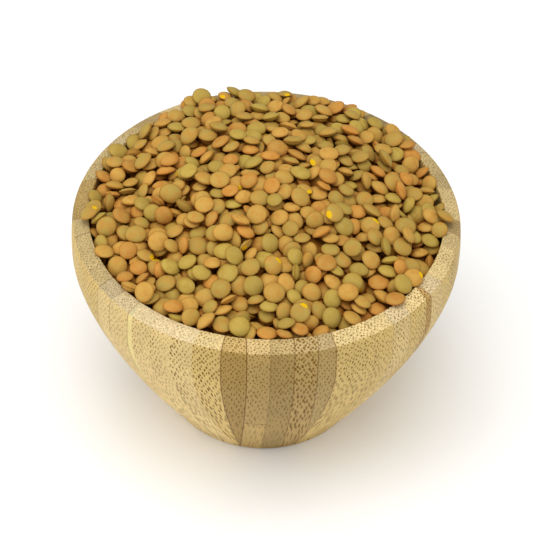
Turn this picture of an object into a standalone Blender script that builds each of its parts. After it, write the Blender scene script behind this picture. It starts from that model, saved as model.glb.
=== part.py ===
"""A small bamboo bowl, brim-full of dry brown and green lentils, in metres with +Z up.

The origin is the centre of the bowl's flat foot. The bowl is one turned solid. The lentils are one
solid too: a core that fills the hollow, with the lentils of the top layer fused onto its dome.
"""

import math
import random

import bmesh
import bpy
from mathutils import Matrix, Vector

# Bowl
BOWL_HEIGHT = 0.0765  # foot to the inner edge of the rim
WIDEST_RADIUS = 0.0600
WIDEST_DEPTH = 0.0130  # below the rim's inner edge
RIM_INNER_RADIUS = 0.0541
RIM_OUTER_RADIUS = 0.0586
RIM_FALL = 0.0008  # the rim's face slopes down outwards by this
RIM_ROUND = 0.0007
UPPER_WALL_DEPTH = 0.0060  # one more ring of points, between the rim and the widest place
FOOT_RADIUS = 0.0318
FOOT_ROUND = 0.0022
WALL_POWER = 1.35  # how the wall draws in, from the widest place to the foot
WALL_SHARES = (0.2, 0.4, 0.6, 0.8, 1.0)  # rings of points down the outside
CAVITY_DEPTH = 0.0670
CAVITY_POWER = 2.4
CAVITY_SHARES = (1.0, 0.985, 0.93, 0.80, 0.60, 0.38, 0.16)  # rings of points up the inside
BOWL_STEPS = 60

# Heap
HEAP_RISE = 0.0140  # top of the core above the rim
HEAP_TOP_Y = 0.0060  # the heap is highest a little behind the middle
HEAP_FALL = 0.0165  # how far the dome falls over one rim radius
HEAP_POWER = 1.6
HEAP_EDGE_DEPTH = 0.0060  # the dome's edge takes its radius from the hollow at this depth
CLEARANCE = 0.0004  # between the heap and the bowl, so that they don't touch
DOME_SHARES = (0.0, 0.3, 0.6, 0.85, 1.0)  # rings of points on the dome
CORE_SHARES = (0.15, 0.38, 0.60, 0.80, 0.93)  # rings of points down the core's side
CORE_FLOOR_SHARE = 0.985
SLOPE_STEP = 0.0005  # over which the dome's slope is measured
CORE_STEPS = 30

# Lentils
LENTIL_COUNT = 235
LENTIL_RADIUS = (0.00265, 0.00330)
LENTIL_THICKNESS = 0.44  # share of the diameter
LENTIL_SIDES = 7
SHOULDER_RADIUS = 0.62  # share of the radius where the crowned face bends down to the edge
SHOULDER_HEIGHT = 0.70  # share of the half thickness there
LENTIL_TILT = (5, 36)  # degrees from the heap's own slope
LENTIL_LIFT = (0.0002, 0.0013)  # centre of a lentil above the core
SEED = 7


def fresh_collection(name):
    collection = bpy.data.collections.new(name)
    bpy.context.scene.collection.children.link(collection)
    return collection


def finish(name, color, roughness):
    material = bpy.data.materials.new(name)
    material.use_nodes = True
    shader = material.node_tree.nodes["Principled BSDF"]
    shader.inputs["Base Color"].default_value = (*color, 1.0)
    shader.inputs["Roughness"].default_value = roughness
    shader.inputs["Metallic"].default_value = 0.0
    material.diffuse_color = (*color, 1.0)
    return material


def turned(name, outline, steps, collection):
    """An outline of (radius, height) pairs, turned about Z. It runs down its outer side."""
    mesh = bpy.data.meshes.new(name)
    points = [(radius, 0.0, height) for radius, height in outline]
    mesh.from_pydata(points, [(i, i + 1) for i in range(len(points) - 1)], [])
    piece = bpy.data.objects.new(name, mesh)
    collection.objects.link(piece)
    screw = piece.modifiers.new("Turn", "SCREW")
    screw.axis = "Z"
    screw.steps = steps
    screw.render_steps = steps
    screw.use_merge_vertices = True
    screw.merge_threshold = 0.00005
    return piece


def wall_radius(depth):
    """Outer radius of the bowl at a depth below the rim's inner edge."""
    if depth < WIDEST_DEPTH:
        share = 1 - depth / WIDEST_DEPTH
        return WIDEST_RADIUS - (WIDEST_RADIUS - RIM_OUTER_RADIUS) * share**2
    share = (depth - WIDEST_DEPTH) / (BOWL_HEIGHT - WIDEST_DEPTH)
    return WIDEST_RADIUS - (WIDEST_RADIUS - FOOT_RADIUS) * share**WALL_POWER


def cavity_radius(depth):
    """Radius of the hollow at a depth below the rim's inner edge."""
    return RIM_INNER_RADIUS * math.sqrt(max(0.0, 1 - (depth / CAVITY_DEPTH) ** CAVITY_POWER))


def bowl_outline():
    inner_depths = [CAVITY_DEPTH * share for share in CAVITY_SHARES]
    outline = [(cavity_radius(depth), BOWL_HEIGHT - depth) for depth in inner_depths]
    outline += [
        (RIM_INNER_RADIUS, BOWL_HEIGHT - RIM_ROUND / 2),
        (RIM_INNER_RADIUS + RIM_ROUND / 2, BOWL_HEIGHT),
        (RIM_OUTER_RADIUS - RIM_ROUND, BOWL_HEIGHT - RIM_FALL),
        (RIM_OUTER_RADIUS, BOWL_HEIGHT - RIM_FALL - RIM_ROUND),
    ]
    rounding_depth = BOWL_HEIGHT - FOOT_ROUND
    outer_depths = [UPPER_WALL_DEPTH, WIDEST_DEPTH] + [
        WIDEST_DEPTH + (rounding_depth - WIDEST_DEPTH) * share for share in WALL_SHARES
    ]
    outline += [(wall_radius(depth), BOWL_HEIGHT - depth) for depth in outer_depths]
    outline += [
        (FOOT_RADIUS - FOOT_ROUND / 3, FOOT_ROUND / 4),
        (FOOT_RADIUS - FOOT_ROUND, 0.0),
        (0.0, 0.0),
    ]
    return outline


def heap_height(x, y):
    """Height of the core's dome over a point, which falls away from the heap's top."""
    share = math.hypot(x, y - HEAP_TOP_Y) / RIM_INNER_RADIUS
    return BOWL_HEIGHT + HEAP_RISE - HEAP_FALL * share**HEAP_POWER


def heap_normal(x, y):
    step = SLOPE_STEP
    slope_x = (heap_height(x + step, y) - heap_height(x - step, y)) / (2 * step)
    slope_y = (heap_height(x, y + step) - heap_height(x, y - step)) / (2 * step)
    return Vector((-slope_x, -slope_y, 1.0)).normalized()


def heap_core(collection):
    """Fills the hollow to its brim. The turned top is flat, and is then raised to the dome."""
    edge_radius = cavity_radius(HEAP_EDGE_DEPTH) - CLEARANCE
    outline = [(edge_radius * share, BOWL_HEIGHT) for share in DOME_SHARES]
    for share in CORE_SHARES:
        depth = CAVITY_DEPTH * share
        outline.append((cavity_radius(depth) - CLEARANCE, BOWL_HEIGHT - depth + CLEARANCE))
    outline.append((0.0, BOWL_HEIGHT - CAVITY_DEPTH * CORE_FLOOR_SHARE + CLEARANCE))
    guide = turned("heap_guide", outline, CORE_STEPS, collection)
    graph = bpy.context.evaluated_depsgraph_get()
    mesh = bpy.data.meshes.new_from_object(guide.evaluated_get(graph))
    bpy.data.objects.remove(guide)
    for vertex in mesh.vertices:
        if vertex.co.z > BOWL_HEIGHT - 0.0001:
            vertex.co.z = heap_height(vertex.co.x, vertex.co.y)
    core = bpy.data.objects.new("lentils", mesh)
    collection.objects.link(core)
    return core


def lentil_mesh():
    """One lentil of radius 1 and half thickness 1: a crowned face on a thin edge, over a plain cone."""
    form = bmesh.new()
    bmesh.ops.create_uvsphere(form, u_segments=LENTIL_SIDES, v_segments=3, radius=1.0)
    for vertex in form.verts:
        around = Vector((vertex.co.x, vertex.co.y, 0.0))
        if around.length < 0.1:
            continue
        around.normalize()
        if vertex.co.z > 0:
            around *= SHOULDER_RADIUS
            around.z = SHOULDER_HEIGHT
        vertex.co = around
    mesh = bpy.data.meshes.new("lentil")
    form.to_mesh(mesh)
    form.free()
    return mesh


def scatter_lentils(collection):
    """Lays the top layer on the dome, evenly along a golden-angle spiral, each with its own tilt."""
    draw = random.Random(SEED)
    golden_angle = math.pi * (3 - math.sqrt(5))
    shape = lentil_mesh()
    for number in range(LENTIL_COUNT):
        radius = draw.uniform(*LENTIL_RADIUS)
        reach = RIM_INNER_RADIUS - CLEARANCE - radius
        ring = reach * math.sqrt((number + 0.5) / LENTIL_COUNT)
        angle = number * golden_angle
        x, y = ring * math.cos(angle), ring * math.sin(angle)
        slope = heap_normal(x, y).to_track_quat("Z", "Y").to_matrix().to_4x4()
        turn = Matrix.Rotation(draw.uniform(0, 2 * math.pi), 4, "Z")
        tilt = Matrix.Rotation(math.radians(draw.uniform(*LENTIL_TILT)), 4, "X")
        half_thickness = radius * LENTIL_THICKNESS
        size = Matrix.Diagonal((radius, radius, half_thickness, 1.0))
        place = Matrix.Translation((x, y, heap_height(x, y) + draw.uniform(*LENTIL_LIFT)))
        lentil = bpy.data.objects.new(f"loose_{number}", shape.copy())
        lentil.data.transform(place @ slope @ turn @ tilt @ size)
        collection.objects.link(lentil)
    bpy.data.meshes.remove(shape)


def keep_main_body(mesh):
    """Drops loose scraps, and the skins of hollows that the union sealed."""
    form = bmesh.new()
    form.from_mesh(mesh)
    unseen = set(form.faces)
    bodies = []
    while unseen:
        body = [unseen.pop()]
        for face in body:
            for edge in face.edges:
                for other in edge.link_faces:
                    if other in unseen:
                        unseen.remove(other)
                        body.append(other)
        bodies.append(body)
    main_body = max(bodies, key=len)
    scraps = [face for body in bodies if body is not main_body for face in body]
    bmesh.ops.delete(form, geom=scraps, context="FACES")
    form.to_mesh(mesh)
    form.free()


def heap(collection):
    core = heap_core(collection)
    loose = fresh_collection("loose_lentils")
    scatter_lentils(loose)
    union = core.modifiers.new("Fuse", "BOOLEAN")
    union.operation = "UNION"
    union.operand_type = "COLLECTION"
    union.collection = loose
    union.solver = "MANIFOLD"
    graph = bpy.context.evaluated_depsgraph_get()
    fused = bpy.data.meshes.new_from_object(core.evaluated_get(graph))
    core.modifiers.remove(union)
    core.data = fused
    for lentil in list(loose.objects):
        bpy.data.objects.remove(lentil)
    bpy.data.collections.remove(loose)
    keep_main_body(fused)
    return core


def main():
    for thing in list(bpy.data.objects):
        bpy.data.objects.remove(thing)
    model = fresh_collection("bowl_of_lentils")
    bowl = turned("bowl", bowl_outline(), BOWL_STEPS, model)
    bowl.data.materials.append(finish("bamboo", (0.60, 0.43, 0.22), 0.55))
    lentils = heap(model)
    lentils.data.materials.clear()
    lentils.data.materials.append(finish("lentil_skin", (0.42, 0.27, 0.09), 0.60))


main()
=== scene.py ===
# Looks for a small bamboo bowl heaped with dry lentils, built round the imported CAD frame.
# Metres, +Z up. The middle of the bowl's foot is the origin, and the viewer looks from -Y.

import math
from functools import partial

import bpy
import numpy as np
from mathutils import Matrix, Vector


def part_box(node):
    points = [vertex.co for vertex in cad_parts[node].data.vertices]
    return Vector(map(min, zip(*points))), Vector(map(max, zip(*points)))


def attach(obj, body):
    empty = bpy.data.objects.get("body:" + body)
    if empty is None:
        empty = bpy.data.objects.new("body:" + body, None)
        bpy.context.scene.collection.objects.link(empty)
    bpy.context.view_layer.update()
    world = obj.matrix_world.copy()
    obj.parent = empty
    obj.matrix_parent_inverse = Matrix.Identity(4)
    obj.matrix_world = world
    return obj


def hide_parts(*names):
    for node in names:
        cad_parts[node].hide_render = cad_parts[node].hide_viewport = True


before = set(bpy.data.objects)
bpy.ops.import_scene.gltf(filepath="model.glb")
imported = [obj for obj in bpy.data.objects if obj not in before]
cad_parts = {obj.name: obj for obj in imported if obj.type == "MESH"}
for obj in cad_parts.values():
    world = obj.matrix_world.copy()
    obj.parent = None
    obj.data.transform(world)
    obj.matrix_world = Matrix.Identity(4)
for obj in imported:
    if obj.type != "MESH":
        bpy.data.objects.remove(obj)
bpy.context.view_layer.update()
print("frame loaded")

mm = 0.001
mergeWithin = 0.01 * mm
cutWithin = 0.001 * mm
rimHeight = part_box("bowl")[1].z


# Small helpers

def linearColour(hexText):
    channels = [int(hexText[place:place + 2], 16) / 255 for place in (0, 2, 4)]
    return [c / 12.92 if c <= 0.04045 else ((c + 0.055) / 1.055) ** 2.4 for c in channels] + [1.0]


def addNode(tree, kind, settings, *inputs):
    # The inputs come in the order in which the node shows them. A node stands for its first output.
    node = tree.nodes.new("ShaderNode" + kind)
    for name, value in settings.items():
        setattr(node, name, value)
    for socket, value in zip([socket for socket in node.inputs if socket.enabled], inputs):
        if isinstance(value, bpy.types.Node):
            value = next(output for output in value.outputs if output.enabled)
        if isinstance(value, bpy.types.NodeSocket):
            tree.links.new(value, socket)
        elif value is not None:
            socket.default_value = value
    return node


# Settings that many nodes share
smooth = {"interpolation_type": "SMOOTHSTEP"}
times = {"operation": "MULTIPLY"}
timesPlus = {"operation": "MULTIPLY_ADD"}
ofColours = {"data_type": "RGBA"}


def newMaterial(name, finish):
    material = bpy.data.materials.new(name)
    material.use_nodes = True
    shader = material.node_tree.nodes["Principled BSDF"]
    shader.inputs["Roughness"].default_value = finish["roughness"]
    shader.inputs["IOR"].default_value = finish["ior"]
    shader.inputs["Specular IOR Level"].default_value = finish["gloss"]
    return material, material.node_tree, shader


def selectOnly(piece):
    bpy.ops.object.select_all(action="DESELECT")
    piece.select_set(True)
    bpy.context.view_layer.objects.active = piece


def switchTo(mode):
    bpy.ops.object.mode_set(mode=mode)


def readAll(items, name, width=3, kind=float):
    values = np.empty(len(items) * width, kind)
    items.foreach_get(name, values)
    return values.reshape(-1, width)


def addAttribute(mesh, name, kind, domain, values):
    field = {"FLOAT": "value", "FLOAT_VECTOR": "vector", "FLOAT_COLOR": "color"}[kind]
    attribute = mesh.attributes.new(name, kind, domain)
    attribute.data.foreach_set(field, np.ascontiguousarray(values, dtype=np.float32).ravel())


def fixOrder(mesh):
    # Edit mode leaves the faces in another order each run, which the settling would feel
    faces = []
    for polygon in mesh.polygons:
        corners = list(polygon.vertices)
        first = corners.index(min(corners))
        faces.append(tuple(corners[first:] + corners[:first]))
    points = [vertex.co.copy() for vertex in mesh.vertices]
    mesh.clear_geometry()
    mesh.from_pydata(points, [], sorted(faces))


def spinForm(name, outline, firstTurn, spans, stepsPerSpan):
    # Turns an outline of (radius, height) points about Z, one span of degrees after another
    bpy.ops.object.select_all(action="DESELECT")
    bpy.ops.mesh.primitive_circle_add(vertices=len(outline), radius=rimHeight)
    piece = bpy.context.active_object
    piece.name = piece.data.name = name
    turn = math.radians(firstTurn)
    for vertex, (radius, height) in zip(piece.data.vertices, outline):
        vertex.co = (radius * math.sin(turn), -radius * math.cos(turn), height)
    switchTo("EDIT")
    bpy.ops.mesh.select_mode(type="EDGE")
    bpy.ops.mesh.select_all(action="DESELECT")
    switchTo("OBJECT")
    for edge in piece.data.edges:
        edge.select = set(edge.vertices) == {0, len(outline) - 1}
    switchTo("EDIT")
    bpy.ops.mesh.delete(type="EDGE")
    bpy.ops.mesh.select_all(action="SELECT")
    for span in spans:
        # with no window, a spin turns the other way too
        angle = -math.radians(span)
        bpy.ops.mesh.spin(steps=stepsPerSpan, angle=angle, center=(0, 0, 0), axis=(0, 0, 1))
    bpy.ops.mesh.select_all(action="SELECT")
    bpy.ops.mesh.remove_doubles(threshold=mergeWithin)
    bpy.ops.mesh.dissolve_degenerate(threshold=cutWithin)
    bpy.ops.mesh.select_all(action="SELECT")
    bpy.ops.mesh.normals_make_consistent(inside=False)
    switchTo("OBJECT")
    fixOrder(piece.data)
    return piece


# Camera, at the photograph's angle: fitted to the rim's ellipse and the bowl's outline

cameraView = {
    "distance": 480 * mm,  # from the middle of the rim
    "elevation": 42.6,  # degrees above level
    "aim": (0.4 * mm, 0.0, 51.5 * mm),
    "roll": 1.6,  # degrees, the bowl leans a little to the right in the picture
    "lens": 106.1,
    "sensor": 36.0,
    "clip": (0.01, 20.0),
}


def makeCamera():
    elevation = math.radians(cameraView["elevation"])
    reach = cameraView["distance"]
    place = Vector((0.0, -reach * math.cos(elevation), rimHeight + reach * math.sin(elevation)))
    data = bpy.data.cameras.new("camera")
    data.lens = cameraView["lens"]
    data.sensor_width = cameraView["sensor"]
    data.clip_start, data.clip_end = cameraView["clip"]
    camera = bpy.data.objects.new("camera", data)
    bpy.context.scene.collection.objects.link(camera)
    look = (Vector(cameraView["aim"]) - place).to_track_quat("-Z", "Y").to_matrix().to_4x4()
    roll = Matrix.Rotation(math.radians(cameraView["roll"]), 4, "Z")
    camera.matrix_world = Matrix.Translation(place) @ look @ roll
    bpy.context.scene.camera = camera


makeCamera()
print("camera placed")


# Bowl: bamboo staves glued up on mitred seams, turned to one smooth form

bowlForm = {
    "rimInner": 54.1 * mm,
    "rimOuter": 59.0 * mm,
    "rimFall": 1.3 * mm,
    "middleFall": 0.45,  # the share of it that the middle of the rim's face has
    "innerRound": 0.45 * mm,
    "outerRound": 0.5 * mm,
    "widest": 60.0 * mm,
    "widestDepth": 13.0 * mm,
    "wallPower": 1.35,
    "wallTop": 2.4 * mm,  # depth of the wall's first ring
    "wallRings": 30,
    "foot": 31.8 * mm,
    "footRound": 2.2 * mm,
    "footEdge": [(0.3 * mm, 0.45), (0.9 * mm, 0.15)],  # how far in, and the share of its height
    "cavityDepth": 67.0 * mm,
    "cavityPower": 2.4,
    "cavityRings": 18,
    "firstSeam": -11.5,  # degrees from the front, towards +X
    "stepsPerPanel": 20,
    "stripWidth": 6.76 * mm,
    "stripShift": 40,  # mm between the patterns of two strips, so that none repeats
    "panelShift": 300,
    "fibreSlope": 58.0,  # degrees that the fibres rise outwards
    "endFacing": 0.7,  # a face that looks up this much is end grain,
    "endDepth": 1.5 * mm,  # down to this depth
    "keepSharp": 40.0,  # degrees
}

# Tones of bamboo, from bleached to steamed
bambooTones = {
    "pale": "D3B87D",
    "straw": "CBAE6C",
    "lemon": "DBC785",
    "honey": "AD9056",
    "tan": "9D834D",
    "caramel": "A18347",
    "band": "B08C4C",
    "grey": "AB915A",
}

# The panels round the bowl, from the front one towards +X. Cuts are in mm from a panel's middle.
# Each strip, from left to right: tone, how dark its dots are, which side has them bolder (-1 left,
# 1 right), their size, and how dark the glue line on its left is. The hidden panels draw theirs.
# "rim" says how much lighter or darker than the wall a panel's end grain is, in all or strip by strip,
# partly the end grain's own tone and partly painted light, lighter at the front and darker at the
# sides and back;
# "rimDots" how much fainter its dots are there, and "lowDots" how much fainter at the foot.
panels = [
    {"span": 32.0, "lowDots": 0.4, "rim": (1.45, 1.42, 1.44, 1.16, 1.16),
     "cuts": (-9.2, -2.5, 4.3, 11.0), "strips": [
        ("caramel", 1.15, 0.2, 0.9, 1.0), ("honey", 1.0, 0.0, 0.92, 1.0),
        ("tan", 1.05, 0.5, 0.95, 0.3), ("honey", 1.6, 0.0, 1.26, 0.7),
        ("grey", 0.9, 0.0, 0.9, 0.7)]},
    {"span": 34.5, "rim": (1.18, 1.15, 1.12, 1.08, 1.25, 1.18),
     "cuts": (-12.5, -5.7, 1.0, 7.8, 15.2), "strips": [
        ("straw", 1.0, 0.3, 0.92, 0.3), ("straw", 1.15, -0.4, 0.94, 0.2),
        ("straw", 0.9, -0.6, 0.9, 0.3), ("pale", 0.95, -0.6, 0.95, 0.3),
        ("straw", 0.9, 0.4, 0.95, 0.3), ("band", 1.15, 0.0, 1.0, 0.5)]},
    {"span": 33.0, "rim": (0.96, 1.1, 1.08, 0.87, 0.92),
     "cuts": (-10.1, -3.4, 3.4, 10.1), "strips": [
        ("pale", 0.65, 0.0, 1.0, 0.3), ("straw", 0.65, 0.5, 0.95, 0.2),
        ("straw", 0.75, -0.5, 1.1, 0.2), ("straw", 0.6, 0.0, 0.9, 0.2),
        ("honey", 0.7, 0.5, 1.0, 0.3)]},
    {"span": 32.5, "rim": (1.02, 0.9, 0.7, 0.8, 0.92),
     "cuts": (-8.6, -1.9, 4.9, 11.6), "strips": [
        ("straw", 0.7, 0.0, 0.9, 0.3), ("straw", 0.8, 0.4, 0.95, 0.2),
        ("straw", 0.75, 0.0, 0.9, 0.2), ("straw", 0.9, -0.4, 1.0, 0.3),
        ("straw", 0.8, 0.0, 0.95, 0.3)]},
    {"span": 32.5, "rim": 0.85, "cuts": (-11.3, -4.6, 2.2, 8.9)},
    {"span": 32.5, "cuts": (-9.7, -3.0, 3.8, 10.5)},
    {"span": 32.5, "cuts": (-12.1, -5.4, 1.4, 8.1)},
    {"span": 32.5, "rim": (1.0, 1.0, 0.86, 0.8, 0.84),
     "cuts": (-12.4, -5.65, 1.1, 7.9), "strips": [
        ("honey", 0.6, 0.0, 0.9, 0.4), ("honey", 0.75, 0.0, 0.95, 0.2),
        ("straw", 0.85, 0.3, 0.95, 0.2), ("pale", 0.9, 0.0, 1.0, 0.3),
        ("straw", 0.9, -0.3, 1.0, 0.3)]},
    {"span": 33.0, "rim": (0.84, 1.1, 1.12, 1.05, 0.8),
     "cuts": (-8.6, -2.8, 3.0, 8.8), "strips": [
        ("straw", 0.9, 0.0, 0.95, 0.3), ("caramel", 0.75, 0.0, 0.9, 0.3),
        ("caramel", 0.65, 0.3, 0.85, 0.2), ("caramel", 0.8, 0.0, 0.95, 0.2),
        ("straw", 0.6, 0.0, 0.8, 0.8)]},
    {"span": 35.5, "rim": (0.79, 0.86, 0.77, 0.74, 0.9),
     "cuts": (-9.8, -3.1, 3.9, 10.3), "strips": [
        ("straw", 0.85, 0.0, 0.85, 0.2), ("straw", 0.95, 0.4, 0.85, 0.2),
        ("straw", 0.85, 0.0, 0.9, 0.2), ("pale", 0.75, 0.3, 0.85, 0.6),
        ("pale", 0.7, 0.0, 0.85, 0.6)]},
    {"span": 29.5, "rimDots": 0.6, "rim": (0.75, 1.0, 1.0, 1.08, 1.2),
     "cuts": (-13.5, -6.8, 0.0, 6.9), "strips": [
        ("lemon", 0.05, 0.0, 0.8, 0.0), ("pale", 0.7, -0.4, 0.98, 0.0),
        ("pale", 0.75, -0.8, 0.98, 0.1), ("pale", 0.9, -0.8, 1.02, 0.1),
        ("straw", 1.15, -0.4, 1.06, 0.1)]},
]
hiddenPanels = {
    "seed": 4,
    "tones": ["pale", "straw", "straw", "honey", "tan", "grey"],
    "dots": (0.45, 0.95),
    "bolder": (-0.6, 0.6),
    "size": (0.8, 1.1),
    "glue": (0.2, 0.8),
}

# A joint of the cane shows low down on one front strip
caneJoint = {
    "panel": 0,
    "strip": 1,
    "height": 33.7 * mm,
    "width": 0.34 * mm,
    "colour": "6B4A1C",
    "below": 1.07,  # the wood under it is this much lighter
}


def wallRadius(depth):
    form = bowlForm
    if depth < form["widestDepth"]:
        share = 1 - depth / form["widestDepth"]
        return form["widest"] - (form["widest"] - form["rimOuter"]) * share ** 2
    share = (depth - form["widestDepth"]) / (rimHeight - form["widestDepth"])
    return form["widest"] - (form["widest"] - form["foot"]) * share ** form["wallPower"]


def cavityRadius(depth):
    share = min(1.0, depth / bowlForm["cavityDepth"])
    return bowlForm["rimInner"] * math.sqrt(1 - share ** bowlForm["cavityPower"])


def arcPoints(centre, radius, fromAngle, toAngle, count):
    angles = np.radians(np.linspace(fromAngle, toAngle, count))
    return [(centre[0] + radius * math.cos(a), centre[1] + radius * math.sin(a)) for a in angles]


def bowlOutline():
    form = bowlForm
    depths = form["cavityDepth"] * np.sin(np.radians(np.linspace(90, 3, form["cavityRings"])))
    points = [(cavityRadius(depth), rimHeight - depth) for depth in depths]
    small, large, foot = form["innerRound"], form["outerRound"], form["footRound"]
    points += arcPoints((form["rimInner"] + small, rimHeight - small), small, 180, 100, 4)
    middle = (form["rimInner"] + form["rimOuter"]) / 2
    points += [(middle, rimHeight - form["rimFall"] * form["middleFall"])]
    corner = (form["rimOuter"] - large, rimHeight - form["rimFall"] - large)
    points += arcPoints(corner, large, 80, 5, 5)
    lowest = rimHeight - foot
    depths = np.linspace(form["wallTop"], lowest, form["wallRings"])
    points += [(wallRadius(depth), rimHeight - depth) for depth in depths]
    edge = wallRadius(lowest)
    points += [(edge - inwards, foot * share) for inwards, share in form["footEdge"]]
    points += [(form["foot"] - foot, 0.0), (form["foot"] * 0.5, 0.0), (0.0, 0.0)]
    return points


def panelTurns():
    # Where each panel starts, in degrees from the front, and where the last one ends
    spans = [panel["span"] for panel in panels]
    return bowlForm["firstSeam"] + np.concatenate(([0.0], np.cumsum(spans)))


def panelAxes(number):
    # Across a panel, level, and straight out of its middle
    turn = math.radians(panelTurns()[number] + panels[number]["span"] / 2)
    across = np.array((math.cos(turn), math.sin(turn), 0.0))
    return across, np.array((across[1], -across[0], 0.0))


def facePanels(mesh):
    centres = readAll(mesh.polygons, "center")
    turn = (np.degrees(np.arctan2(centres[:, 0], -centres[:, 1])) - bowlForm["firstSeam"]) % 360
    return np.searchsorted(panelTurns()[1:-1] - bowlForm["firstSeam"], turn), centres


def stripCuts(number):
    return np.array(panels[number]["cuts"]) * mm


def cutFaces(piece, chosen, place, normal):
    # Cuts only the chosen faces with a plane
    switchTo("EDIT")
    bpy.ops.mesh.select_all(action="DESELECT")
    switchTo("OBJECT")
    piece.data.polygons.foreach_set("select", chosen)
    switchTo("EDIT")
    bpy.ops.mesh.bisect(plane_co=place, plane_no=normal, threshold=cutWithin)
    switchTo("OBJECT")


def cutStrips(bowl):
    selectOnly(bowl)
    switchTo("EDIT")
    bpy.ops.mesh.select_mode(type="FACE")
    switchTo("OBJECT")
    for number in range(len(panels)):
        across = panelAxes(number)[0]
        for cut in stripCuts(number):
            cutFaces(bowl, facePanels(bowl.data)[0] == number, across * cut, across)
    across = panelAxes(caneJoint["panel"])[0]
    cuts = stripCuts(caneJoint["panel"])
    for side in (-0.5, 0.5):
        owners, centres = facePanels(bowl.data)
        strip = np.searchsorted(cuts, centres @ across)
        height = caneJoint["height"] + side * caneJoint["width"]
        chosen = (owners == caneJoint["panel"]) & (strip == caneJoint["strip"])
        cutFaces(bowl, chosen, (0, 0, height), (0, 0, 1))


def stripLooks():
    draw = np.random.default_rng(hiddenPanels["seed"])
    looks = []
    for number, panel in enumerate(panels):
        drawn = []
        for _ in range(len(stripCuts(number)) + 1):
            tone = str(draw.choice(hiddenPanels["tones"]))
            rest = [draw.uniform(*hiddenPanels[name]) for name in ("dots", "bolder", "size", "glue")]
            drawn.append((tone, *rest))
        looks.append(panel.get("strips", drawn))
    return looks


def markStrips(bowl):
    # Gives every face its strip's looks, and every corner its place in the strip and along its fibres
    mesh = bowl.data
    owners, centres = facePanels(mesh)
    looks = stripLooks()
    onRim = readAll(mesh.polygons, "normal")[:, 2] > bowlForm["endFacing"]
    onRim &= centres[:, 2] > rimHeight - bowlForm["endDepth"]
    tones = np.ones((len(owners), 4))
    dots = np.zeros((len(owners), 3))
    vertexOf = readAll(mesh.loops, "vertex_index", 1, int)[:, 0]
    points = readAll(mesh.vertices, "co")[vertexOf]
    corners = readAll(mesh.polygons, "loop_total", 1, int)[:, 0]
    faceOf = np.repeat(np.arange(len(owners)), corners)
    grain = np.zeros((len(vertexOf), 3))
    edges = np.zeros((len(vertexOf), 3))
    slope = math.radians(bowlForm["fibreSlope"])
    for number, panel in enumerate(panels):
        across, outward = panelAxes(number)
        cuts = stripCuts(number)
        half = math.radians(panel["span"] / 2)
        faces = np.flatnonzero(owners == number)
        strip = np.searchsorted(cuts, centres[faces] @ across)
        own = looks[number]
        tones[faces] = np.array([linearColour(bambooTones[look[0]]) for look in own])[strip]
        tones[faces, 3] = np.array([look[4] for look in own])[strip]
        dots[faces] = np.array([look[1:4] for look in own])[strip]
        stripOf = np.zeros(len(owners), int)
        stripOf[faces] = strip
        here = np.flatnonzero(owners[faceOf] == number)
        stripHere = stripOf[faceOf[here]]
        sideways, out, up = points[here] @ across, points[here] @ outward, points[here, 2]
        grain[here, 0] = sideways + stripHere * bowlForm["stripShift"] * mm
        grain[here, 0] += number * bowlForm["panelShift"] * mm
        grain[here, 1] = up * math.cos(slope) - out * math.sin(slope)
        grain[here, 2] = up * math.sin(slope) + out * math.cos(slope)
        sides = np.concatenate(([-bowlForm["widest"]], cuts, [bowlForm["widest"]]))
        edges[here, 0] = sideways - sides[stripHere]
        edges[here, 1] = sides[stripHere + 1] - sideways
        edges[here, 2] = out * math.sin(half) - np.abs(sideways) * math.cos(half)
        # The rim's end grain takes each panel's rim factor: partly its own tone, partly painted light,
        # lighter at the front and darker at the sides and back
        rimToneAndPaintedLight = np.broadcast_to(panel.get("rim", 1.0), len(own))[strip]
        ends = onRim[faces]
        tones[faces[ends], :3] *= rimToneAndPaintedLight[ends, None] * np.array(bambooFinish["endGrain"])
        dots[faces[ends], 0] *= panel.get("rimDots", 1.0)
        lowShare = np.clip(1 - centres[faces, 2] / bambooFinish["fadeHeight"], 0, 1)
        dots[faces, 0] *= 1 - (1 - panel.get("lowDots", 1.0)) * lowShare
        if number == caneJoint["panel"]:
            inStrip = faces[strip == caneJoint["strip"]]
            below = centres[inStrip, 2] - caneJoint["height"]
            tones[inStrip[below < 0], :3] *= caneJoint["below"]
            joint = inStrip[np.abs(below) < caneJoint["width"] / 2]
            tones[joint, :3] = linearColour(caneJoint["colour"])[:3]
    addAttribute(mesh, "tone", "FLOAT_COLOR", "FACE", tones)
    addAttribute(mesh, "dots", "FLOAT_VECTOR", "FACE", dots)
    addAttribute(mesh, "grain", "FLOAT_VECTOR", "CORNER", grain / mm)
    addAttribute(mesh, "edges", "FLOAT_VECTOR", "CORNER", edges / mm)


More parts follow.
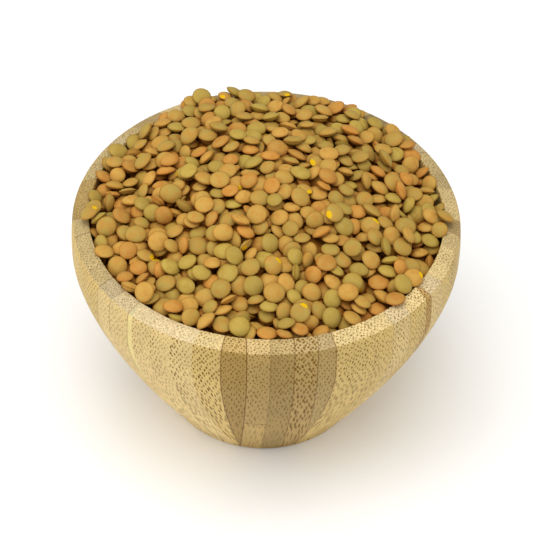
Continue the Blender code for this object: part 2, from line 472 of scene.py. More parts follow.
# Bamboo, cut at a slant to its fibres, sanded and lightly oiled. The fibre bundles show as brown dots
# on the rim and the upper wall, and as long streaks where the lower wall runs along them.
bambooFinish = {
    "roughness": 0.55,
    "ior": 1.50,
    "gloss": 0.14,
    "bundleSpacing": 0.94,  # mm
    "bundleStray": 0.50,  # 0 stands in even rows, 1 is fully scattered
    "bundleTurn": 0.72,  # radians, so that the bundles stand in slanting rows
    "bundleSize": 0.27,  # radius, in spacings
    "bundleSpread": (0.75, 1.15),  # the smallest and the largest, in shares of that
    "bundleEdge": 0.06,
    "wander": 0.8,  # mm that the bundles stray from straight
    "wanderScale": (0.30, 0.30, 0.06),  # waves a mm, across the fibres and along them
    "dotColour": "70500F",
    "dotLevel": 0.9,
    "dotSpread": (0.70, 1.05),  # the faintest and the darkest bundle
    "fibreScale": (3.2, 3.2, 0.10),
    "fibreRange": (0.25, 0.75),  # of the noise that the fibres are drawn from
    "fibreDark": (0.84, 0.66),  # the darkest fibres on the wall, and at the cut ends
    "fibreLight": (1.10, 1.22),  # the lightest
    "cutEnds": (0.6, 0.9),  # how far a face looks up where the ends start, and where they are all
    "blotchScale": 0.07,
    "blotchLight": (0.3, 0.7, 0.93, 1.06),
    "glueColour": "6B4416",
    "glueWidth": 0.34,  # mm
    "glueEdges": (0.4, 1.0, 1.3),  # in its width: where it starts to fade, its end, a seam's end
    "endGrain": (1.0, 1.06, 1.36),  # the cut ends are a little less yellow than the wall
    "relief": 0.05 * mm,
    "bump": 0.5,
    "fibreRelief": 0.5,
    "fadeHeight": 56.0 * mm,  # where the dots start to fade downwards
    # From one height to another: fainter dots, and lighter wood where it is cut along its fibres
    "lowDots": (22.0 * mm, 52.0 * mm, 0.95, 1.0),
    "lowLight": (22.0 * mm, 52.0 * mm, 1.10, 1.0),
}


def bambooMaterial():
    finish = bambooFinish
    material, tree, shader = newMaterial("bamboo, sanded and oiled", finish)
    add = partial(addNode, tree)
    grain = add("Attribute", {"attribute_name": "grain"}).outputs["Vector"]
    tone = add("Attribute", {"attribute_name": "tone"})
    looks = add("Attribute", {"attribute_name": "dots"}).outputs["Vector"]
    dots = add("SeparateXYZ", {}, looks)
    sides = add("Attribute", {"attribute_name": "edges"}).outputs["Vector"]
    edges = add("SeparateXYZ", {}, sides)

    # Bundles: a pattern that is constant along the fibre, with a slow wander
    slow = add("Mapping", {}, grain, None, None, finish["wanderScale"])
    stray = add("TexNoise", {}, slow, 1.0, 1.0).outputs["Color"]
    centred = add("VectorMath", {"operation": "SUBTRACT"}, stray, (0.5, 0.5, 0.5))
    wander = (finish["wander"],) * 3
    shifted = add("VectorMath", timesPlus, centred, wander, grain)
    turned = add("Mapping", {}, shifted, None, (0, 0, finish["bundleTurn"]))
    flat = {"voronoi_dimensions": "2D"}
    bundles = add("TexVoronoi", flat, turned, 1 / finish["bundleSpacing"])
    bundles.inputs["Randomness"].default_value = finish["bundleStray"]
    own = add("SeparateColor", {}, bundles.outputs["Color"])
    sizes = [finish["bundleSize"] * share for share in finish["bundleSpread"]]
    spread = add("MapRange", {}, own.outputs[0], 0.0, 1.0, *sizes)
    size = add("Math", times, spread, dots.outputs[2])
    within = add("Math", {"operation": "SUBTRACT"}, size, bundles.outputs["Distance"])
    inDot = add("MapRange", smooth, within, -finish["bundleEdge"], finish["bundleEdge"])

    # How dark they are: by strip, by side of the strip, and each bundle's own
    strip = bowlForm["stripWidth"] / mm
    acrossStrip = add("MapRange", {}, edges.outputs[0], 0.0, strip, -0.5, 0.5)
    lean = add("Math", timesPlus, acrossStrip, dots.outputs[1], finish["dotLevel"])
    clamped = {"operation": "MULTIPLY", "use_clamp": True}
    strength = add("Math", clamped, lean, dots.outputs[0])
    speck = add("MapRange", {}, own.outputs[1], 0.0, 1.0, *finish["dotSpread"])
    place = add("SeparateXYZ", {}, add("TexCoord", {}).outputs["Object"])
    lowDots = add("MapRange", smooth, place.outputs[2], *finish["lowDots"])
    faded = add("Math", times, speck, lowDots)
    owned = add("Math", times, strength, faded)
    dotShare = add("Math", times, inDot, owned)

    # Fine fibres and slow blotches
    fine = add("Mapping", {}, shifted, None, None, finish["fibreScale"])
    fibres = add("TexNoise", {}, fine, 1.0, 3.0)
    blotch = add("TexNoise", {}, grain, finish["blotchScale"], 3.0)
    facing = add("SeparateXYZ", {}, add("NewGeometry", {}).outputs["Normal"])
    endGrain = add("MapRange", smooth, facing.outputs[2], *finish["cutEnds"])
    darkest = add("MapRange", {}, endGrain, 0.0, 1.0, *finish["fibreDark"])
    lightest = add("MapRange", {}, endGrain, 0.0, 1.0, *finish["fibreLight"])
    fibreLight = add("MapRange", smooth, fibres, *finish["fibreRange"], darkest, lightest)
    blotchLight = add("MapRange", smooth, blotch, *finish["blotchLight"])
    lowLight = add("MapRange", smooth, place.outputs[2], *finish["lowLight"])
    mottled = add("Math", times, fibreLight, blotchLight)
    light = add("Math", times, mottled, lowLight)
    ground = add("VectorMath", {"operation": "SCALE"}, tone, light)
    dotted = add("Mix", ofColours, dotShare, ground, linearColour(finish["dotColour"]))

    # Glue lines between strips, and at the mitred seams
    inner, outer, seamOuter = [finish["glueWidth"] * share for share in finish["glueEdges"]]
    glue = add("MapRange", smooth, edges.outputs[0], inner, outer, 1.0, 0.0)
    seam = add("MapRange", smooth, edges.outputs[2], 0.0, seamOuter, 1.0, 0.0)
    line = add("Math", {"operation": "MAXIMUM"}, glue, seam)
    lineShare = add("Math", times, line, tone.outputs["Alpha"])
    lined = add("Mix", ofColours, lineShare, dotted, linearColour(finish["glueColour"]))
    tree.links.new(lined.outputs[2], shader.inputs["Base Color"])

    pits = add("Math", times, inDot, strength)
    height = add("Math", timesPlus, fibres, finish["fibreRelief"], pits)
    bump = add("Bump", {"invert": True}, finish["bump"], finish["relief"])
    tree.links.new(height.outputs[0], bump.inputs["Height"])
    tree.links.new(bump.outputs[0], shader.inputs["Normal"])
    return material


def makeBowl():
    spans = [panel["span"] for panel in panels]
    firstSeam, steps = bowlForm["firstSeam"], bowlForm["stepsPerPanel"]
    bowl = spinForm("bambooBowl", bowlOutline(), firstSeam, spans, steps)
    cutStrips(bowl)
    markStrips(bowl)
    selectOnly(bowl)
    bpy.ops.object.shade_smooth_by_angle(angle=math.radians(bowlForm["keepSharp"]))
    bowl.data.materials.append(bambooMaterial())
    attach(bowl, "root")
    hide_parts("bowl")
    print("bowl:", len(bowl.data.polygons), "faces")


makeBowl()


# Lentils: a random pile, each one let down onto those below it

pile = {
    "seed": 21,
    "cell": 0.4 * mm,  # of the height map that the lentils rest on
    "mapHalf": 62.0 * mm,
    "window": 3.4 * mm,  # how far round its centre a lentil is set against the map
    "rimGap": 0.2 * mm,
    "wallGap": 1.2 * mm,  # no lentil is aimed nearer than this to the rim's inner edge
    "most": 1600,
    "picks": 60,  # places looked at for each lentil, which goes to the lowest
    "spread": 0.8 * mm,
    "riseAboveRim": 12.6 * mm,  # the pile's envelope, highest a little behind the middle
    "topY": 6.0 * mm,
    "fall": 14.1 * mm,  # over one rim radius
    "backFall": 11.4 * mm,  # the same at the back, where the pile stays higher
    "backFrom": 0.08,  # how far in front of its top that starts, in rim radii
    "power": 1.6,
    "coreDepth": 9.0 * mm,  # of the plain core under the envelope
    "tilt": 42.0,  # degrees, the usual tilt at first
    "tries": 7,
    "rounds": 6,
    "perRound": 9,
    "wander": 0.5 * mm,
    "turn": 7.0,  # degrees
    "goodEnough": 0.9 * mm,  # how far below the envelope a place may stay
    "frontMargin": 2.4 * mm,  # lentil centres stay this far inside the rim at the front
    "backMargin": -0.6 * mm,
    "edgeWeight": 4,  # mm of height that a mm past the margin costs
    "gapFloor": 4.0 * mm,  # under the rim, for the pile's smoothed surface
    "gapSteps": (1, 2, 3, 4),  # cells that it is smoothed over, one after another
}
lentilForm = {
    "radius": (2.50 * mm, 3.26 * mm),
    "thickness": (0.38, 0.48),  # of the diameter
    "sides": 14,
    "profile": [(0.84, 0.37), (0.47, 0.84)],  # rings from the edge up to the crown: reach, height
    "keel": 62.0,  # degrees, past which an edge stays sharp
    "oval": 0.035,
    "lobe": 0.014,
    "warp": 0.05,
    "bulge": 0.12,
}

# Two lentils lie up on the rim, one at each side
strays = [
    {"azimuth": -82.0, "reach": 53.8 * mm, "radius": 2.95 * mm},
    {"azimuth": 85.6, "reach": 54.0 * mm, "radius": 3.0 * mm},
]
strayTries = {"count": 400, "tilt": 30, "spread": 0.25 * mm}


def envelope(x, y):
    share = np.hypot(x, y - pile["topY"]) / bowlForm["rimInner"]
    back = np.clip((y - pile["topY"]) / bowlForm["rimInner"] + pile["backFrom"], 0, 1)
    fall = pile["fall"] + (pile["backFall"] - pile["fall"]) * back
    return rimHeight + pile["riseAboveRim"] - fall * share ** pile["power"]


# The plain core under the pile, painted dark brown as shade, as dark as the shaded gaps between
# lentils are

core = {
    "clearance": 0.6 * mm,
    "edgeDepth": 11.0 * mm,
    "sideFrom": 1.4,  # where its side starts, in edge depths
    "rings": 8,
    "steps": 48,
    "roughness": 0.8,
    "ior": 1.45,
    "gloss": 0.2,
    # Painted shade: the core's two dark browns stand for the shade deep inside the pile
    "dark": "3A1C04",
    "light": "5E3408",
    "grit": 3.0 * mm,
}


def makeCore():
    gap = core["clearance"]
    edge = cavityRadius(core["edgeDepth"]) - gap
    outline = [(radius, rimHeight) for radius in np.linspace(0, edge, core["rings"])]
    first, last = core["edgeDepth"] * core["sideFrom"], bowlForm["cavityDepth"] - gap
    for depth in np.linspace(first, last, core["rings"]):
        outline.append((max(0.0, cavityRadius(depth) - gap), rimHeight - depth + gap / 2))
    outline.append((0.0, outline[-1][1]))
    piece = spinForm("heapCore", outline, 0.0, [360.0], core["steps"])
    for vertex in piece.data.vertices:
        if vertex.co.z > rimHeight - mergeWithin:
            vertex.co.z = float(envelope(vertex.co.x, vertex.co.y)) - pile["coreDepth"]
    # The core's material is painted shade: dark browns mottled by a little noise
    material, tree, shader = newMaterial("painted shade of the heap core", core)
    add = partial(addNode, tree)
    place = add("TexCoord", {}).outputs["Object"]
    grit = add("TexNoise", {}, place, 1 / core["grit"], 3.0)
    dark, light = linearColour(core["dark"]), linearColour(core["light"])
    tint = add("Mix", ofColours, grit, dark, light)
    tree.links.new(tint.outputs[2], shader.inputs["Base Color"])
    piece.data.materials.append(material)
    selectOnly(piece)
    bpy.ops.object.shade_smooth()
    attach(piece, "root")
    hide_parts("lentils")


makeCore()
print("core made")


def overEdge(place):
    # How far lentil centres are past the margin that they keep to the rim
    reach = np.hypot(place[:, 0], place[:, 1])
    back = 0.5 + 0.5 * place[:, 1] / np.maximum(reach, 1 * mm)
    margin = pile["frontMargin"] + (pile["backMargin"] - pile["frontMargin"]) * back
    return np.maximum(0.0, reach - bowlForm["rimInner"] + margin)


def turnTowards(tilt, heading, spin):
    # Rotation matrices for many lentils: spun about their own axis, then tipped towards a heading
    cosT, sinT, cosH, sinH = np.cos(tilt), np.sin(tilt), np.cos(heading), np.sin(heading)
    tip = np.stack([
        np.stack([cosT * cosH ** 2 + sinH ** 2, (cosT - 1) * cosH * sinH, sinT * cosH], -1),
        np.stack([(cosT - 1) * cosH * sinH, cosT * sinH ** 2 + cosH ** 2, sinT * sinH], -1),
        np.stack([-sinT * cosH, -sinT * sinH, cosT], -1)], -2)
    zero, one = np.zeros_like(spin), np.ones_like(spin)
    around = np.stack([
        np.stack([np.cos(spin), -np.sin(spin), zero], -1),
        np.stack([np.sin(spin), np.cos(spin), zero], -1),
        np.stack([zero, zero, one], -1)], -2)
    return tip @ around


class Bed:
    # The height map, and what rests where on it

    def __init__(self):
        self.cell = pile["cell"]
        self.half = int(pile["mapHalf"] / self.cell)
        axis = np.arange(-self.half, self.half + 1) * self.cell
        self.x, self.y = np.meshgrid(axis, axis)
        reach = np.hypot(self.x, self.y)
        self.goal = envelope(self.x, self.y)
        self.height = self.goal - pile["coreDepth"]
        onRim = reach > bowlForm["rimInner"] - pile["rimGap"]
        self.height[onRim] = rimHeight
        self.height[reach > bowlForm["rimOuter"]] = -1.0
        self.inside = reach < bowlForm["rimInner"] - pile["wallGap"]
        steps = int(pile["window"] / self.cell) + 1
        window = np.arange(-steps, steps + 1)
        self.wx, self.wy = np.meshgrid(window, window)

    def surfaces(self, place, axes, turn):
        # Lower and upper height of each proposed lentil over the cells round it, from its own centre
        quadric = turn @ (axes[:, :, None] ** -2 * np.swapaxes(turn, -1, -2))
        column = np.rint(place[:, 0] / self.cell).astype(int)
        row = np.rint(place[:, 1] / self.cell).astype(int)
        dx = (column[:, None, None] + self.wx) * self.cell - place[:, 0, None, None]
        dy = (row[:, None, None] + self.wy) * self.cell - place[:, 1, None, None]
        a = quadric[:, None, None, :, :]
        slope = a[..., 0, 2] * dx + a[..., 1, 2] * dy
        rest = a[..., 0, 0] * dx ** 2 + 2 * a[..., 0, 1] * dx * dy + a[..., 1, 1] * dy ** 2 - 1
        inside = slope ** 2 - a[..., 2, 2] * rest
        hit = inside > 0
        root = np.sqrt(np.where(hit, inside, 0))
        low = np.where(hit, (-slope - root) / a[..., 2, 2], 1.0)
        high = np.where(hit, (-slope + root) / a[..., 2, 2], -1.0)
        rows = row[:, None, None] + self.wy + self.half
        columns = column[:, None, None] + self.wx + self.half
        return low, high, np.clip(rows, 0, 2 * self.half), np.clip(columns, 0, 2 * self.half)

    def restingHeight(self, place, axes, turn):
        low, high, rows, columns = self.surfaces(place, axes, turn)
        return (self.height[rows, columns] - low).max(axis=(1, 2))

    def lay(self, place, axes, turn):
        low, high, rows, columns = self.surfaces(place[None, :2], axes[None], turn[None])
        top = high[0] + place[2]
        under = high[0] > -0.5
        here = self.height[rows[0], columns[0]]
        self.height[rows[0], columns[0]] = np.where(under, np.maximum(here, top), here)


def settle(bed, draw, axes, near):
    # Tries several places and tilts, then nudges the lowest one until it stops sinking
    count = pile["tries"]
    place = near + draw.normal(0, pile["spread"], (count, 2))
    tilt = np.abs(draw.normal(0, math.radians(pile["tilt"]), count))
    turn = turnTowards(tilt, *draw.uniform(0, 2 * math.pi, (2, count)))
    rest = bed.restingHeight(place, np.repeat(axes[None], count, 0), turn)
    depth = rest - envelope(place[:, 0], place[:, 1]) + pile["edgeWeight"] * overEdge(place)
    best = int(np.argmin(depth))
    bestPlace, bestTurn, bestRest, bestDepth = place[best], turn[best], rest[best], depth[best]
    count = pile["perRound"]
    for stage in range(pile["rounds"]):
        ease = 1 - stage / pile["rounds"]
        place = bestPlace + draw.normal(0, pile["wander"] * ease, (count, 2))
        tilt = np.abs(draw.normal(0, math.radians(pile["turn"]) * ease, count))
        turn = turnTowards(tilt, draw.uniform(0, 2 * math.pi, count), np.zeros(count)) @ bestTurn
        rest = bed.restingHeight(place, np.repeat(axes[None], count, 0), turn)
        depth = rest - envelope(place[:, 0], place[:, 1]) + pile["edgeWeight"] * overEdge(place)
        best = int(np.argmin(depth))
        if depth[best] < bestDepth:
            bestPlace, bestTurn, bestRest, bestDepth = place[best], turn[best], rest[best], depth[best]
    return np.array((*bestPlace, bestRest)), bestTurn


def pourLentils():
    draw = np.random.default_rng(pile["seed"])
    bed = Bed()
    laid = []
    candidates = np.argwhere(bed.inside)
    while len(laid) < pile["most"]:
        picks = candidates[draw.integers(0, len(candidates), pile["picks"])]
        gaps = bed.goal[picks[:, 0], picks[:, 1]] - bed.height[picks[:, 0], picks[:, 1]]
        pick = picks[int(np.argmax(gaps))]
        if gaps.max() < pile["goodEnough"]:
            break
        near = np.array((bed.x[tuple(pick)], bed.y[tuple(pick)]))
        radius = draw.uniform(*lentilForm["radius"])
        axes = np.array((radius, radius, radius * draw.uniform(*lentilForm["thickness"])))
        place, turn = settle(bed, draw, axes, near)
        bed.lay(place, axes, turn)
        laid.append((place, axes, turn))
    return laid


# Then the poured lentils are let go, and settle on one another as in a real bowl
settling = {
    "scale": 100.0,  # the solver is made for things of about a metre
    "frames": 24,
    "substeps": 8,
    "iterations": 12,
    "wallSteps": 120,
    "margin": 0.04 * mm,
    "friction": 1.0,
    "bowlFriction": 1.0,
    "slowing": 0.3,
    "turnSlowing": 0.8,
    "lostBelow": 14.0 * mm,  # under the rim
    "lostBeyond": 0.6 * mm,  # past the rim's inner edge
    "proud": 2.7 * mm,  # one that stands up this far above the pile's surface is left out
}


def looseBodies(pieces, kind, shape, friction):
    bpy.ops.object.select_all(action="DESELECT")
    for piece in pieces:
        piece.select_set(True)
    bpy.context.view_layer.objects.active = pieces[0]
    bpy.ops.rigidbody.objects_add(type=kind)
    for piece in pieces:
        body = piece.rigid_body
        body.collision_shape = shape
        body.use_margin = True
        body.collision_margin = settling["margin"] * settling["scale"]
        body.friction = friction
        body.restitution = 0.0
        body.linear_damping = settling["slowing"]
        body.angular_damping = settling["turnSlowing"]


def settleLentils(laid, base, faces):
    big = settling["scale"]
    scene = bpy.context.scene
    enlarge = Matrix.Scale(big, 4)
    loose = []
    for place, axes, turn in laid:
        mesh = bpy.data.meshes.new("loose")
        mesh.from_pydata((base * axes * big).tolist(), [], faces)
        loose.append(bpy.data.objects.new("loose", mesh))
        there = Matrix.Translation(Vector(place * big))
        loose[-1].matrix_world = there @ Matrix(turn.tolist()).to_4x4()
    # A plain bowl stands in for the one in strips
    bowlWall = spinForm("bowlWall", bowlOutline(), 0.0, [360.0], settling["wallSteps"])
    coreWall = bpy.data.objects.new("coreWall", bpy.data.objects["heapCore"].data.copy())
    walls = [bowlWall, coreWall]
    for wall in walls:
        wall.data.transform(enlarge)
    for piece in loose + [coreWall]:
        scene.collection.objects.link(piece)
    bpy.ops.rigidbody.world_add()
    world = scene.rigidbody_world
    world.substeps_per_frame = settling["substeps"]
    world.solver_iterations = settling["iterations"]
    world.point_cache.frame_end = settling["frames"]
    looseBodies(loose, "ACTIVE", "CONVEX_HULL", settling["friction"])
    looseBodies(walls, "PASSIVE", "MESH", settling["bowlFriction"])
    for number in range(1, settling["frames"] + 1):
        scene.frame_set(number)
    graph = bpy.context.evaluated_depsgraph_get()
    settled = []
    for piece, (place, axes, turn) in zip(loose, laid):
        matrix = piece.evaluated_get(graph).matrix_world
        rest = np.array(matrix.translation) / big
        lost = rest[2] < rimHeight - settling["lostBelow"]
        lost |= math.hypot(rest[0], rest[1]) > bowlForm["rimInner"] + settling["lostBeyond"]
        if not lost:
            settled.append((rest, axes, np.array(matrix.to_quaternion().to_matrix())))
    bpy.ops.rigidbody.world_remove()
    for piece in loose + walls:
        mesh = piece.data
        bpy.data.objects.remove(piece)
        bpy.data.meshes.remove(mesh)
    scene.frame_set(1)
    bed, level = gapLevel(settled)
    kept = []
    for place, axes, turn in settled:
        column, row = np.rint(place[:2] / bed.cell).astype(int) + bed.half
        top = place[2] + np.linalg.norm(turn[2] * axes)
        if top - level[row, column] < settling["proud"]:
            kept.append((place, axes, turn))
    print("settled:", len(kept), "of", len(laid))
    return kept


def gapLevel(laid):
    # The pile's own surface, smoothed over a few lentils: what lies under it is in a gap
    bed = Bed()
    for place, axes, turn in sorted(laid, key=lambda lentil: lentil[0][2]):
        bed.lay(place, axes, turn)
    level = np.maximum(bed.height, rimHeight - pile["gapFloor"])
    for step in pile["gapSteps"]:
        for axis in (0, 1):
            level = (np.roll(level, step, axis) + level + np.roll(level, -step, axis)) / 3
    return bed, level


def layStrays(laid, bed):
    # Each lies over the rim's inner edge, tilted so that it rests as low as it can
    draw = np.random.default_rng(pile["seed"] + 2)
    count = strayTries["count"]
    for spot in strays:
        heading = math.radians(spot["azimuth"])
        near = np.array((math.sin(heading), -math.cos(heading))) * spot["reach"]
        axes = np.array((1.0, 1.0, sum(lentilForm["thickness"]) / 2)) * spot["radius"]
        place = near + draw.uniform(-1, 1, (count, 2)) * strayTries["spread"]
        tilt = np.radians(draw.uniform(0, strayTries["tilt"], count))
        turn = turnTowards(tilt, *draw.uniform(0, 2 * math.pi, (2, count)))
        rest = bed.restingHeight(place, np.repeat(axes[None], count, 0), turn)
        best = int(np.argmin(rest))
        laid.append((np.array((*place[best], rest[best])), axes, turn[best]))
        bed.lay(*laid[-1])
        print("on the rim:", laid[-1][0])


def lentilBase():
    # One half is raised ring by ring from a flat polygon, then mirrored
    bpy.ops.object.select_all(action="DESELECT")
    bpy.ops.mesh.primitive_circle_add(vertices=lentilForm["sides"], radius=1.0, fill_type="NGON")
    base = bpy.context.active_object
    switchTo("EDIT")
    bpy.ops.mesh.select_mode(type="FACE")
    reach, height = 1.0, 0.0
    for nextReach, nextHeight in lentilForm["profile"]:
        bpy.ops.mesh.extrude_region_move(TRANSFORM_OT_translate={"value": (0, 0, nextHeight - height)})
        bpy.ops.transform.resize(value=(nextReach / reach, nextReach / reach, 1))
        reach, height = nextReach, nextHeight
    bpy.ops.mesh.select_all(action="DESELECT")
    switchTo("OBJECT")
    for face in base.data.polygons:
        face.select = abs(face.center.z) < 0.001
    switchTo("EDIT")
    bpy.ops.mesh.delete(type="FACE")
    switchTo("OBJECT")
    mirror = base.modifiers.new("otherHalf", "MIRROR")
    mirror.use_axis = (False, False, True)
    bpy.ops.object.modifier_apply(modifier=mirror.name)
    switchTo("EDIT")
    bpy.ops.mesh.select_all(action="SELECT")
    bpy.ops.mesh.normals_make_consistent(inside=False)
    switchTo("OBJECT")
    fixOrder(base.data)
    points = np.array([vertex.co for vertex in base.data.vertices])
    faces = [tuple(face.vertices) for face in base.data.polygons]
    bpy.data.objects.remove(base)
    return points, faces


def shapeLentils(draw, base, count):
    # Each copy gets its own oval, lobes, warp and uneven bulge
    angle = np.arctan2(base[:, 1], base[:, 0])
    reach = np.hypot(base[:, 0], base[:, 1])
    phases = draw.uniform(0, 2 * math.pi, (count, 3, 1))
    oval = draw.normal(0, lentilForm["oval"], (count, 1)) * np.cos(2 * angle + phases[:, 0])
    lobe = draw.normal(0, lentilForm["lobe"], (count, 1)) * np.cos(3 * angle + phases[:, 1])
    warp = draw.normal(0, lentilForm["warp"], (count, 1)) * reach ** 2
    warp = warp * np.cos(2 * angle + phases[:, 2])
    bulge = 1 + draw.normal(0, lentilForm["bulge"], (count, 1)) * np.sign(base[:, 2])
    shapes = np.repeat(base[None], count, 0)
    shapes[:, :, :2] *= (1 + (oval + lobe) * reach)[:, :, None]
    shapes[:, :, 2] = shapes[:, :, 2] * bulge + warp
    return shapes


def joinedPiece(name, shapes, base, faces, placed, own, surface, material):
    count, perPiece = len(placed), len(base)
    points = []
    for shape, (place, axes, turn) in zip(shapes, placed):
        points.append((turn @ (shape * axes).T).T + place)
    points = np.stack(points)
    bed, level = surface
    cells = np.rint(points[..., :2] / bed.cell).astype(int) + bed.half
    # How deep each point lies under the pile's smoothed surface, which the skin turns into painted
    # shade in the gaps
    depth = level[cells[..., 1], cells[..., 0]] - points[..., 2]
    corners = np.array([len(face) for face in faces])
    flat = np.concatenate([np.array(face) for face in faces])
    starts = np.concatenate(([0], np.cumsum(corners)[:-1]))
    copies = np.arange(count)[:, None]
    mesh = bpy.data.meshes.new(name)
    mesh.vertices.add(count * perPiece)
    mesh.vertices.foreach_set("co", points.astype(np.float32).ravel())
    mesh.loops.add(count * len(flat))
    mesh.loops.foreach_set("vertex_index", (flat + copies * perPiece).ravel().astype(np.int32))
    mesh.polygons.add(count * len(faces))
    mesh.polygons.foreach_set("loop_start", (starts + copies * len(flat)).ravel().astype(np.int32))
    mesh.update(calc_edges=True)
    mesh.validate()
    mesh.shade_smooth()
    mesh.set_sharp_from_angle(angle=math.radians(lentilForm["keel"]))
    addAttribute(mesh, "depth", "FLOAT", "POINT", depth / mm)
    addAttribute(mesh, "own", "FLOAT_VECTOR", "POINT", np.repeat(own, perPiece, 0))
    addAttribute(mesh, "local", "FLOAT_VECTOR", "POINT", np.tile(base, (count, 1)))
    piece = bpy.data.objects.new(name, mesh)
    bpy.context.scene.collection.objects.link(piece)
    mesh.materials.append(material)
    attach(piece, "root")
    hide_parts("lentils")
    triangles = count * sum(len(face) - 2 for face in faces)
    print(name + ":", count, "lentils,", triangles, "triangles")


# Lentil skin: the dry, matt seed coat of a pulse, dull and a little waxy, with faint mottling and an
# edge that is browner than the faces: partly the keel's own colour, partly painted shade at the edges
skinFinish = {
    "roughness": 0.55,
    "ior": 1.45,
    "gloss": 0.10,
    "patternShift": (37.0, 53.0, 71.0),  # gives each lentil its own piece of the noise
    "mottleScale": 1.3,  # in a lentil's radius
    "swing": (0.3, 0.7, -0.45, 0.45),  # from the noise to a lighter or darker skin,
    "patches": (0.35, 0.70, 0.0, 0.35),  # and to patches of the edge's colour
    "edgeBrowningAndShade": (0.82, 1.0, 0.0, 0.65),  # towards the edge, in a lentil's radius: partly the keel's own colour, partly painted shade
    "fineScale": 5.0,
    "bump": 0.35,
    "relief": 0.05 * mm,
    "paintedGapShadeColour": "7E3E00",  # painted shade in the gaps: darker and redder, standing in for shade and light bounced from lentil to lentil
    "gap": (0.3, 3.4, 0.0, 0.82),  # painted shade in the gaps: from and to, in mm under the pile's surface
}
# Each kind's edge colour is partly its keel's own brown and partly painted shade at the lentils' edges
kinds = {
    "tanLentils": {"share": 0.62, "low": "A78D44", "high": "C99A4A", "edge": "885209"},
    "greenLentils": {"share": 0.20, "low": "A68D44", "high": "B99E4A", "edge": "80590D"},
    "rustyLentils": {"share": 0.18, "low": "B28740", "high": "C99042", "edge": "904B0A"},
}
chips = {
    "share": 0.06,
    "kind": "tanLentils",
    "colour": "D8AC08",
    "spot": (0.72, 0.0, 0.35),  # its middle, in a lentil's radius and half thickness
    "ragged": 0.35,
    "border": (0.53, 0.58),
}


def skinMaterial(name, kind, chipped):
    finish = skinFinish
    material, tree, shader = newMaterial(name, finish)
    add = partial(addNode, tree)
    low, high, edge = [linearColour(kind[part]) for part in ("low", "high", "edge")]
    own = add("Attribute", {"attribute_name": "own"}).outputs["Vector"]
    local = add("Attribute", {"attribute_name": "local"}).outputs["Vector"]
    space = add("VectorMath", timesPlus, own, finish["patternShift"], local)
    mottle = add("TexNoise", {}, space, finish["mottleScale"], 4.0)
    ownShare = add("SeparateXYZ", {}, own)
    swing = add("MapRange", {}, mottle, *finish["swing"])
    tone = add("Math", {"operation": "ADD", "use_clamp": True}, ownShare, swing)
    skin = add("Mix", ofColours, tone, low, high)
    patch = add("MapRange", smooth, mottle, *finish["patches"])
    skin = add("Mix", ofColours, patch, skin, edge)
    # Browner towards the edge: partly the keel's own colour, partly painted shade
    flat = add("VectorMath", times, local, (1.0, 1.0, 0.0))
    reach = add("VectorMath", {"operation": "LENGTH"}, flat)
    rim = add("MapRange", smooth, reach, *finish["edgeBrowningAndShade"])
    skin = add("Mix", ofColours, rim, skin, edge)
    if chipped:
        spot = add("VectorMath", {"operation": "DISTANCE"}, local, chips["spot"])
        ragged = add("Math", timesPlus, mottle, chips["ragged"], spot)
        bare = add("MapRange", smooth, ragged, *chips["border"], 1.0, 0.0)
        skin = add("Mix", ofColours, bare, skin, linearColour(chips["colour"]))
    # Painted shade: the deeper a point lies under the pile's smoothed surface, the more the skin turns
    # to the dark red-brown gap colour
    under = add("Attribute", {"attribute_name": "depth"}).outputs["Fac"]
    shade = add("MapRange", smooth, under, *finish["gap"])
    skin = add("Mix", ofColours, shade, skin, linearColour(finish["paintedGapShadeColour"]))
    tree.links.new(skin.outputs[2], shader.inputs["Base Color"])
    fine = add("TexNoise", {}, space, finish["fineScale"], 3.0)
    bump = add("Bump", {}, finish["bump"], finish["relief"])
    tree.links.new(fine.outputs[0], bump.inputs["Height"])
    tree.links.new(bump.outputs[0], shader.inputs["Normal"])
    return material


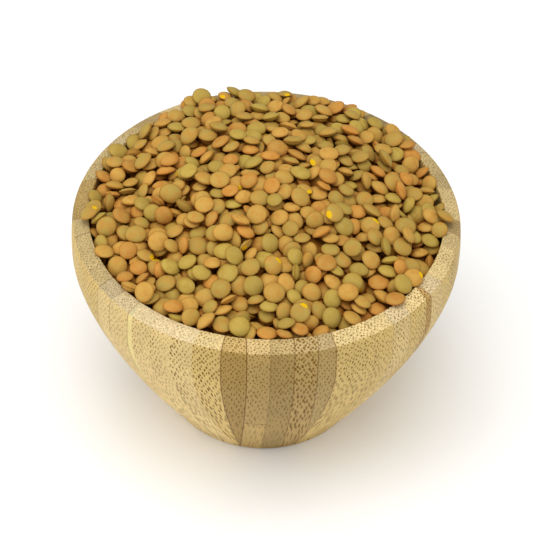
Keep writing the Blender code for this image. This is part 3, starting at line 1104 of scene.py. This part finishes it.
def makeLentils():
    base, faces = lentilBase()
    laid = settleLentils(pourLentils(), base, faces)
    surface = gapLevel(laid)
    layStrays(laid, surface[0])
    draw = np.random.default_rng(pile["seed"] + 1)
    shapes = shapeLentils(draw, base, len(laid))
    own = draw.uniform(0, 1, (len(laid), 3))
    order = draw.uniform(0, 1, len(laid))
    chipped = draw.uniform(0, 1, len(laid)) < chips["share"]
    groups = []
    low = 0.0
    for name, kind in kinds.items():
        chosen = (order >= low) & (order < low + kind["share"]) & ~chipped
        groups.append((name, kind, False, chosen))
        low += kind["share"]
    groups.append(("chippedLentils", kinds[chips["kind"]], True, chipped))
    for name, kind, bare, chosen in groups:
        members = np.flatnonzero(chosen)
        skin = skinMaterial(name + " skin", kind, bare)
        placed = [laid[member] for member in members]
        joinedPiece(name, shapes[members], base, faces, placed, own[members], surface, skin)


makeLentils()
print("heap made")


# Studio: a pale floor, a white room and large soft lights

studio = {
    "floor": "FBFBFA",
    "floorSize": 6.0,
    "board": {"roughness": 0.9, "ior": 1.45, "gloss": 0.3},  # matt, so it shows only soft shade
    "room": "FFFFFF",
    "roomStrength": 0.46,
    "lights": [
        # name, place, size, watts
        ("over", (-0.06, -0.10, 0.75), 0.60, 4.0),
        ("front", (-0.20, -0.85, 0.50), 0.60, 1.3),
        ("left", (-0.85, -0.15, 0.35), 0.50, 2.4),
        ("right", (0.85, -0.10, 0.35), 0.50, 1.5),
    ],
    "lightAim": (0.0, 0.0, 0.06),
}


def makeStudio():
    bpy.ops.object.select_all(action="DESELECT")
    bpy.ops.mesh.primitive_plane_add(size=studio["floorSize"], location=(0, 0, 0))
    floor = bpy.context.active_object
    floor.name = "floor"
    material, tree, shader = newMaterial("matt white board", studio["board"])
    shader.inputs["Base Color"].default_value = linearColour(studio["floor"])
    floor.data.materials.append(material)
    world = bpy.data.worlds.new("room")
    world.use_nodes = True
    bpy.context.scene.world = world
    background = world.node_tree.nodes["Background"]
    background.inputs["Color"].default_value = linearColour(studio["room"])
    background.inputs["Strength"].default_value = studio["roomStrength"]
    for name, place, size, watts in studio["lights"]:
        data = bpy.data.lights.new(name, "AREA")
        data.shape = "SQUARE"
        data.size = size
        data.energy = watts
        light = bpy.data.objects.new(name, data)
        bpy.context.scene.collection.objects.link(light)
        facing = (Vector(studio["lightAim"]) - Vector(place)).to_track_quat("-Z", "Y")
        light.matrix_world = Matrix.Translation(place) @ facing.to_matrix().to_4x4()
    bpy.context.scene.view_settings.view_transform = "Standard"


makeStudio()
print("studio lit")
